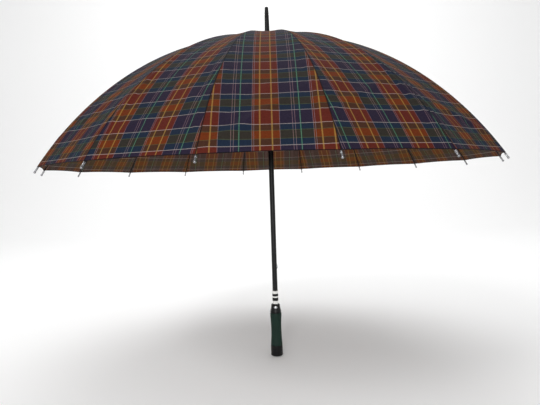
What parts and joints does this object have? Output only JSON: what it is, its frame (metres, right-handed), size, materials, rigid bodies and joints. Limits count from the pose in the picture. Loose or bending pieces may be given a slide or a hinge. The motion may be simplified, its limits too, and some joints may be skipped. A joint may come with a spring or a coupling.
{
  "type": "stick umbrella",
  "caption": "Open stick umbrella: domed plaid canopy on curved ribs and stretchers, black shaft with sliding runner and spring catches, ferrule and straight rubber grip.",
  "frame": {"origin": "centre of the flat face at the end of the handle", "axes": "+Z along the shaft from the handle to the ferrule; -Y faces the middle of a gore"},
  "size_m": [1.1506, 1.1506, 0.9452],
  "materials": {
    "shaft_black": "gloss black painted steel tube",
    "rib_steel": "black painted steel",
    "rib_fibreglass": "black fibreglass rod with a bright tip",
    "black_plastic": "moulded black plastic",
    "handle_black": "moulded black plastic",
    "grip_rubber": "dark green foam rubber",
    "banded_sleeve": "bright sleeve with two black bands",
    "catch_steel": "spring steel",
    "plaid_cloth": "woven plaid cloth in rust, navy, green and yellow"
  },
  "bodies": {
    "root": {"shaft": "shaft_black", "ferrule": "black_plastic", "ferrule_tip": "black_plastic", "crown": "black_plastic", "canopy": "plaid_cloth", "collar_sleeve": "banded_sleeve", "handle_neck": "handle_black", "handle_grip": "grip_rubber", "end_cap": "handle_black"},
    "runner": {"runner": "black_plastic"},
    "top_catch": {"top_catch": "catch_steel"},
    "bottom_catch": {"bottom_catch": "catch_steel"},
    "inner_rib_01": {"inner_rib_01": "rib_steel"},
    "outer_rib_01": {"outer_rib_01": "rib_fibreglass"},
    "stretcher_01": {"stretcher_01": "rib_steel"},
    "inner_rib_02": {"inner_rib_02": "rib_steel"},
    "outer_rib_02": {"outer_rib_02": "rib_fibreglass"},
    "stretcher_02": {"stretcher_02": "rib_steel"},
    "inner_rib_03": {"inner_rib_03": "rib_steel"},
    "outer_rib_03": {"outer_rib_03": "rib_fibreglass"},
    "stretcher_03": {"stretcher_03": "rib_steel"},
    "inner_rib_04": {"inner_rib_04": "rib_steel"},
    "outer_rib_04": {"outer_rib_04": "rib_fibreglass"},
    "stretcher_04": {"stretcher_04": "rib_steel"},
    "inner_rib_05": {"inner_rib_05": "rib_steel"},
    "outer_rib_05": {"outer_rib_05": "rib_fibreglass"},
    "stretcher_05": {"stretcher_05": "rib_steel"},
    "inner_rib_06": {"inner_rib_06": "rib_steel"},
    "outer_rib_06": {"outer_rib_06": "rib_fibreglass"},
    "stretcher_06": {"stretcher_06": "rib_steel"},
    "inner_rib_07": {"inner_rib_07": "rib_steel"},
    "outer_rib_07": {"outer_rib_07": "rib_fibreglass"},
    "stretcher_07": {"stretcher_07": "rib_steel"},
    "inner_rib_08": {"inner_rib_08": "rib_steel"},
    "outer_rib_08": {"outer_rib_08": "rib_fibreglass"},
    "stretcher_08": {"stretcher_08": "rib_steel"},
    "inner_rib_09": {"inner_rib_09": "rib_steel"},
    "outer_rib_09": {"outer_rib_09": "rib_fibreglass"},
    "stretcher_09": {"stretcher_09": "rib_steel"},
    "inner_rib_10": {"inner_rib_10": "rib_steel"},
    "outer_rib_10": {"outer_rib_10": "rib_fibreglass"},
    "stretcher_10": {"stretcher_10": "rib_steel"},
    "inner_rib_11": {"inner_rib_11": "rib_steel"},
    "outer_rib_11": {"outer_rib_11": "rib_fibreglass"},
    "stretcher_11": {"stretcher_11": "rib_steel"},
    "inner_rib_12": {"inner_rib_12": "rib_steel"},
    "outer_rib_12": {"outer_rib_12": "rib_fibreglass"},
    "stretcher_12": {"stretcher_12": "rib_steel"},
    "inner_rib_13": {"inner_rib_13": "rib_steel"},
    "outer_rib_13": {"outer_rib_13": "rib_fibreglass"},
    "stretcher_13": {"stretcher_13": "rib_steel"},
    "inner_rib_14": {"inner_rib_14": "rib_steel"},
    "outer_rib_14": {"outer_rib_14": "rib_fibreglass"},
    "stretcher_14": {"stretcher_14": "rib_steel"},
    "inner_rib_15": {"inner_rib_15": "rib_steel"},
    "outer_rib_15": {"outer_rib_15": "rib_fibreglass"},
    "stretcher_15": {"stretcher_15": "rib_steel"},
    "inner_rib_16": {"inner_rib_16": "rib_steel"},
    "outer_rib_16": {"outer_rib_16": "rib_fibreglass"},
    "stretcher_16": {"stretcher_16": "rib_steel"}
  },
  "joints": [
    {"name": "runner_slide", "type": "slide", "parent": "root", "child": "runner", "axis": [0, 0, -1], "range_m": [0, 0.42175], "deforming": ["canopy"]},
    {"name": "top_catch_press", "type": "slide", "parent": "root", "child": "top_catch", "axis": [-1, 0, 0], "range_m": [0, 0.0029], "stiffness_N_per_m": 600},
    {"name": "bottom_catch_press", "type": "slide", "parent": "root", "child": "bottom_catch", "axis": [-1, 0, 0], "range_m": [0, 0.0029], "stiffness_N_per_m": 600},
    {"name": "inner_rib_hinge_01", "type": "hinge", "parent": "root", "child": "inner_rib_01", "pos_m": [0.00312, -0.01569, 0.85116], "axis": [0.9808, 0.1951, 0], "range_deg": [0, 72.11]},
    {"name": "outer_rib_hinge_01", "type": "hinge", "parent": "inner_rib_01", "child": "outer_rib_01", "pos_m": [0.05796, -0.29139, 0.78206], "axis": [0.9808, 0.1951, 0], "range_deg": [-23.3, 0]},
    {"name": "stretcher_hinge_01", "type": "hinge", "parent": "inner_rib_01", "child": "stretcher_01", "pos_m": [0.05683, -0.2857, 0.77743], "axis": [0.9808, 0.1951, 0], "range_deg": [-144.11, 0]},
    {"name": "inner_rib_hinge_02", "type": "hinge", "parent": "root", "child": "inner_rib_02", "pos_m": [0.00889, -0.0133, 0.85116], "axis": [0.8315, 0.5556, 0], "range_deg": [0, 72.11]},
    {"name": "outer_rib_hinge_02", "type": "hinge", "parent": "inner_rib_02", "child": "outer_rib_02", "pos_m": [0.16506, -0.24703, 0.78206], "axis": [0.8315, 0.5556, 0], "range_deg": [-23.3, 0]},
    {"name": "stretcher_hinge_02", "type": "hinge", "parent": "inner_rib_02", "child": "stretcher_02", "pos_m": [0.16184, -0.2422, 0.77743], "axis": [0.8315, 0.5556, 0], "range_deg": [-144.11, 0]},
    {"name": "inner_rib_hinge_03", "type": "hinge", "parent": "root", "child": "inner_rib_03", "pos_m": [0.0133, -0.00889, 0.85116], "axis": [0.5556, 0.8315, 0], "range_deg": [0, 72.11]},
    {"name": "outer_rib_hinge_03", "type": "hinge", "parent": "inner_rib_03", "child": "outer_rib_03", "pos_m": [0.24703, -0.16506, 0.78206], "axis": [0.5556, 0.8315, 0], "range_deg": [-23.3, 0]},
    {"name": "stretcher_hinge_03", "type": "hinge", "parent": "inner_rib_03", "child": "stretcher_03", "pos_m": [0.2422, -0.16184, 0.77743], "axis": [0.5556, 0.8315, 0], "range_deg": [-144.11, 0]},
    {"name": "inner_rib_hinge_04", "type": "hinge", "parent": "root", "child": "inner_rib_04", "pos_m": [0.01569, -0.00312, 0.85116], "axis": [0.1951, 0.9808, 0], "range_deg": [0, 72.11]},
    {"name": "outer_rib_hinge_04", "type": "hinge", "parent": "inner_rib_04", "child": "outer_rib_04", "pos_m": [0.29139, -0.05796, 0.78206], "axis": [0.1951, 0.9808, 0], "range_deg": [-23.3, 0]},
    {"name": "stretcher_hinge_04", "type": "hinge", "parent": "inner_rib_04", "child": "stretcher_04", "pos_m": [0.2857, -0.05683, 0.77743], "axis": [0.1951, 0.9808, 0], "range_deg": [-144.11, 0]},
    {"name": "inner_rib_hinge_05", "type": "hinge", "parent": "root", "child": "inner_rib_05", "pos_m": [0.01569, 0.00312, 0.85116], "axis": [-0.1951, 0.9808, 0], "range_deg": [0, 72.11]},
    {"name": "outer_rib_hinge_05", "type": "hinge", "parent": "inner_rib_05", "child": "outer_rib_05", "pos_m": [0.29139, 0.05796, 0.78206], "axis": [-0.1951, 0.9808, 0], "range_deg": [-23.3, 0]},
    {"name": "stretcher_hinge_05", "type": "hinge", "parent": "inner_rib_05", "child": "stretcher_05", "pos_m": [0.2857, 0.05683, 0.77743], "axis": [-0.1951, 0.9808, 0], "range_deg": [-144.11, 0]},
    {"name": "inner_rib_hinge_06", "type": "hinge", "parent": "root", "child": "inner_rib_06", "pos_m": [0.0133, 0.00889, 0.85116], "axis": [-0.5556, 0.8315, 0], "range_deg": [0, 72.11]},
    {"name": "outer_rib_hinge_06", "type": "hinge", "parent": "inner_rib_06", "child": "outer_rib_06", "pos_m": [0.24703, 0.16506, 0.78206], "axis": [-0.5556, 0.8315, 0], "range_deg": [-23.3, 0]},
    {"name": "stretcher_hinge_06", "type": "hinge", "parent": "inner_rib_06", "child": "stretcher_06", "pos_m": [0.2422, 0.16184, 0.77743], "axis": [-0.5556, 0.8315, 0], "range_deg": [-144.11, 0]},
    {"name": "inner_rib_hinge_07", "type": "hinge", "parent": "root", "child": "inner_rib_07", "pos_m": [0.00889, 0.0133, 0.85116], "axis": [-0.8315, 0.5556, 0], "range_deg": [0, 72.11]},
    {"name": "outer_rib_hinge_07", "type": "hinge", "parent": "inner_rib_07", "child": "outer_rib_07", "pos_m": [0.16506, 0.24703, 0.78206], "axis": [-0.8315, 0.5556, 0], "range_deg": [-23.3, 0]},
    {"name": "stretcher_hinge_07", "type": "hinge", "parent": "inner_rib_07", "child": "stretcher_07", "pos_m": [0.16184, 0.2422, 0.77743], "axis": [-0.8315, 0.5556, 0], "range_deg": [-144.11, 0]},
    {"name": "inner_rib_hinge_08", "type": "hinge", "parent": "root", "child": "inner_rib_08", "pos_m": [0.00312, 0.01569, 0.85116], "axis": [-0.9808, 0.1951, 0], "range_deg": [0, 72.11]},
    {"name": "outer_rib_hinge_08", "type": "hinge", "parent": "inner_rib_08", "child": "outer_rib_08", "pos_m": [0.05796, 0.29139, 0.78206], "axis": [-0.9808, 0.1951, 0], "range_deg": [-23.3, 0]},
    {"name": "stretcher_hinge_08", "type": "hinge", "parent": "inner_rib_08", "child": "stretcher_08", "pos_m": [0.05683, 0.2857, 0.77743], "axis": [-0.9808, 0.1951, 0], "range_deg": [-144.11, 0]},
    {"name": "inner_rib_hinge_09", "type": "hinge", "parent": "root", "child": "inner_rib_09", "pos_m": [-0.00312, 0.01569, 0.85116], "axis": [-0.9808, -0.1951, 0], "range_deg": [0, 72.11]},
    {"name": "outer_rib_hinge_09", "type": "hinge", "parent": "inner_rib_09", "child": "outer_rib_09", "pos_m": [-0.05796, 0.29139, 0.78206], "axis": [-0.9808, -0.1951, 0], "range_deg": [-23.3, 0]},
    {"name": "stretcher_hinge_09", "type": "hinge", "parent": "inner_rib_09", "child": "stretcher_09", "pos_m": [-0.05683, 0.2857, 0.77743], "axis": [-0.9808, -0.1951, 0], "range_deg": [-144.11, 0]},
    {"name": "inner_rib_hinge_10", "type": "hinge", "parent": "root", "child": "inner_rib_10", "pos_m": [-0.00889, 0.0133, 0.85116], "axis": [-0.8315, -0.5556, 0], "range_deg": [0, 72.11]},
    {"name": "outer_rib_hinge_10", "type": "hinge", "parent": "inner_rib_10", "child": "outer_rib_10", "pos_m": [-0.16506, 0.24703, 0.78206], "axis": [-0.8315, -0.5556, 0], "range_deg": [-23.3, 0]},
    {"name": "stretcher_hinge_10", "type": "hinge", "parent": "inner_rib_10", "child": "stretcher_10", "pos_m": [-0.16184, 0.2422, 0.77743], "axis": [-0.8315, -0.5556, 0], "range_deg": [-144.11, 0]},
    {"name": "inner_rib_hinge_11", "type": "hinge", "parent": "root", "child": "inner_rib_11", "pos_m": [-0.0133, 0.00889, 0.85116], "axis": [-0.5556, -0.8315, 0], "range_deg": [0, 72.11]},
    {"name": "outer_rib_hinge_11", "type": "hinge", "parent": "inner_rib_11", "child": "outer_rib_11", "pos_m": [-0.24703, 0.16506, 0.78206], "axis": [-0.5556, -0.8315, 0], "range_deg": [-23.3, 0]},
    {"name": "stretcher_hinge_11", "type": "hinge", "parent": "inner_rib_11", "child": "stretcher_11", "pos_m": [-0.2422, 0.16184, 0.77743], "axis": [-0.5556, -0.8315, 0], "range_deg": [-144.11, 0]},
    {"name": "inner_rib_hinge_12", "type": "hinge", "parent": "root", "child": "inner_rib_12", "pos_m": [-0.01569, 0.00312, 0.85116], "axis": [-0.1951, -0.9808, 0], "range_deg": [0, 72.11]},
    {"name": "outer_rib_hinge_12", "type": "hinge", "parent": "inner_rib_12", "child": "outer_rib_12", "pos_m": [-0.29139, 0.05796, 0.78206], "axis": [-0.1951, -0.9808, 0], "range_deg": [-23.3, 0]},
    {"name": "stretcher_hinge_12", "type": "hinge", "parent": "inner_rib_12", "child": "stretcher_12", "pos_m": [-0.2857, 0.05683, 0.77743], "axis": [-0.1951, -0.9808, 0], "range_deg": [-144.11, 0]},
    {"name": "inner_rib_hinge_13", "type": "hinge", "parent": "root", "child": "inner_rib_13", "pos_m": [-0.01569, -0.00312, 0.85116], "axis": [0.1951, -0.9808, 0], "range_deg": [0, 72.11]},
    {"name": "outer_rib_hinge_13", "type": "hinge", "parent": "inner_rib_13", "child": "outer_rib_13", "pos_m": [-0.29139, -0.05796, 0.78206], "axis": [0.1951, -0.9808, 0], "range_deg": [-23.3, 0]},
    {"name": "stretcher_hinge_13", "type": "hinge", "parent": "inner_rib_13", "child": "stretcher_13", "pos_m": [-0.2857, -0.05683, 0.77743], "axis": [0.1951, -0.9808, 0], "range_deg": [-144.11, 0]},
    {"name": "inner_rib_hinge_14", "type": "hinge", "parent": "root", "child": "inner_rib_14", "pos_m": [-0.0133, -0.00889, 0.85116], "axis": [0.5556, -0.8315, 0], "range_deg": [0, 72.11]},
    {"name": "outer_rib_hinge_14", "type": "hinge", "parent": "inner_rib_14", "child": "outer_rib_14", "pos_m": [-0.24703, -0.16506, 0.78206], "axis": [0.5556, -0.8315, 0], "range_deg": [-23.3, 0]},
    {"name": "stretcher_hinge_14", "type": "hinge", "parent": "inner_rib_14", "child": "stretcher_14", "pos_m": [-0.2422, -0.16184, 0.77743], "axis": [0.5556, -0.8315, 0], "range_deg": [-144.11, 0]},
    {"name": "inner_rib_hinge_15", "type": "hinge", "parent": "root", "child": "inner_rib_15", "pos_m": [-0.00889, -0.0133, 0.85116], "axis": [0.8315, -0.5556, 0], "range_deg": [0, 72.11]},
    {"name": "outer_rib_hinge_15", "type": "hinge", "parent": "inner_rib_15", "child": "outer_rib_15", "pos_m": [-0.16506, -0.24703, 0.78206], "axis": [0.8315, -0.5556, 0], "range_deg": [-23.3, 0]},
    {"name": "stretcher_hinge_15", "type": "hinge", "parent": "inner_rib_15", "child": "stretcher_15", "pos_m": [-0.16184, -0.2422, 0.77743], "axis": [0.8315, -0.5556, 0], "range_deg": [-144.11, 0]},
    {"name": "inner_rib_hinge_16", "type": "hinge", "parent": "root", "child": "inner_rib_16", "pos_m": [-0.00312, -0.01569, 0.85116], "axis": [0.9808, -0.1951, 0], "range_deg": [0, 72.11]},
    {"name": "outer_rib_hinge_16", "type": "hinge", "parent": "inner_rib_16", "child": "outer_rib_16", "pos_m": [-0.05796, -0.29139, 0.78206], "axis": [0.9808, -0.1951, 0], "range_deg": [-23.3, 0]},
    {"name": "stretcher_hinge_16", "type": "hinge", "parent": "inner_rib_16", "child": "stretcher_16", "pos_m": [-0.05683, -0.2857, 0.77743], "axis": [0.9808, -0.1951, 0], "range_deg": [-144.11, 0]}
  ],
  "couplings": [
    {"joint": "inner_rib_hinge_01", "follows": "runner_slide", "rad_per_m": 2.9798},
    {"joint": "outer_rib_hinge_01", "follows": "runner_slide", "rad_per_m": -0.96009},
    {"joint": "stretcher_hinge_01", "follows": "runner_slide", "rad_per_m": -5.9597},
    {"joint": "inner_rib_hinge_02", "follows": "runner_slide", "rad_per_m": 2.9798},
    {"joint": "outer_rib_hinge_02", "follows": "runner_slide", "rad_per_m": -0.96009},
    {"joint": "stretcher_hinge_02", "follows": "runner_slide", "rad_per_m": -5.9597},
    {"joint": "inner_rib_hinge_03", "follows": "runner_slide", "rad_per_m": 2.9798},
    {"joint": "outer_rib_hinge_03", "follows": "runner_slide", "rad_per_m": -0.96009},
    {"joint": "stretcher_hinge_03", "follows": "runner_slide", "rad_per_m": -5.9597},
    {"joint": "inner_rib_hinge_04", "follows": "runner_slide", "rad_per_m": 2.9798},
    {"joint": "outer_rib_hinge_04", "follows": "runner_slide", "rad_per_m": -0.96009},
    {"joint": "stretcher_hinge_04", "follows": "runner_slide", "rad_per_m": -5.9597},
    {"joint": "inner_rib_hinge_05", "follows": "runner_slide", "rad_per_m": 2.9798},
    {"joint": "outer_rib_hinge_05", "follows": "runner_slide", "rad_per_m": -0.96009},
    {"joint": "stretcher_hinge_05", "follows": "runner_slide", "rad_per_m": -5.9597},
    {"joint": "inner_rib_hinge_06", "follows": "runner_slide", "rad_per_m": 2.9798},
    {"joint": "outer_rib_hinge_06", "follows": "runner_slide", "rad_per_m": -0.96009},
    {"joint": "stretcher_hinge_06", "follows": "runner_slide", "rad_per_m": -5.9597},
    {"joint": "inner_rib_hinge_07", "follows": "runner_slide", "rad_per_m": 2.9798},
    {"joint": "outer_rib_hinge_07", "follows": "runner_slide", "rad_per_m": -0.96009},
    {"joint": "stretcher_hinge_07", "follows": "runner_slide", "rad_per_m": -5.9597},
    {"joint": "inner_rib_hinge_08", "follows": "runner_slide", "rad_per_m": 2.9798},
    {"joint": "outer_rib_hinge_08", "follows": "runner_slide", "rad_per_m": -0.96009},
    {"joint": "stretcher_hinge_08", "follows": "runner_slide", "rad_per_m": -5.9597},
    {"joint": "inner_rib_hinge_09", "follows": "runner_slide", "rad_per_m": 2.9798},
    {"joint": "outer_rib_hinge_09", "follows": "runner_slide", "rad_per_m": -0.96009},
    {"joint": "stretcher_hinge_09", "follows": "runner_slide", "rad_per_m": -5.9597},
    {"joint": "inner_rib_hinge_10", "follows": "runner_slide", "rad_per_m": 2.9798},
    {"joint": "outer_rib_hinge_10", "follows": "runner_slide", "rad_per_m": -0.96009},
    {"joint": "stretcher_hinge_10", "follows": "runner_slide", "rad_per_m": -5.9597},
    {"joint": "inner_rib_hinge_11", "follows": "runner_slide", "rad_per_m": 2.9798},
    {"joint": "outer_rib_hinge_11", "follows": "runner_slide", "rad_per_m": -0.96009},
    {"joint": "stretcher_hinge_11", "follows": "runner_slide", "rad_per_m": -5.9597},
    {"joint": "inner_rib_hinge_12", "follows": "runner_slide", "rad_per_m": 2.9798},
    {"joint": "outer_rib_hinge_12", "follows": "runner_slide", "rad_per_m": -0.96009},
    {"joint": "stretcher_hinge_12", "follows": "runner_slide", "rad_per_m": -5.9597},
    {"joint": "inner_rib_hinge_13", "follows": "runner_slide", "rad_per_m": 2.9798},
    {"joint": "outer_rib_hinge_13", "follows": "runner_slide", "rad_per_m": -0.96009},
    {"joint": "stretcher_hinge_13", "follows": "runner_slide", "rad_per_m": -5.9597},
    {"joint": "inner_rib_hinge_14", "follows": "runner_slide", "rad_per_m": 2.9798},
    {"joint": "outer_rib_hinge_14", "follows": "runner_slide", "rad_per_m": -0.96009},
    {"joint": "stretcher_hinge_14", "follows": "runner_slide", "rad_per_m": -5.9597},
    {"joint": "inner_rib_hinge_15", "follows": "runner_slide", "rad_per_m": 2.9798},
    {"joint": "outer_rib_hinge_15", "follows": "runner_slide", "rad_per_m": -0.96009},
    {"joint": "stretcher_hinge_15", "follows": "runner_slide", "rad_per_m": -5.9597},
    {"joint": "inner_rib_hinge_16", "follows": "runner_slide", "rad_per_m": 2.9798},
    {"joint": "outer_rib_hinge_16", "follows": "runner_slide", "rad_per_m": -0.96009},
    {"joint": "stretcher_hinge_16", "follows": "runner_slide", "rad_per_m": -5.9597}
  ]
}
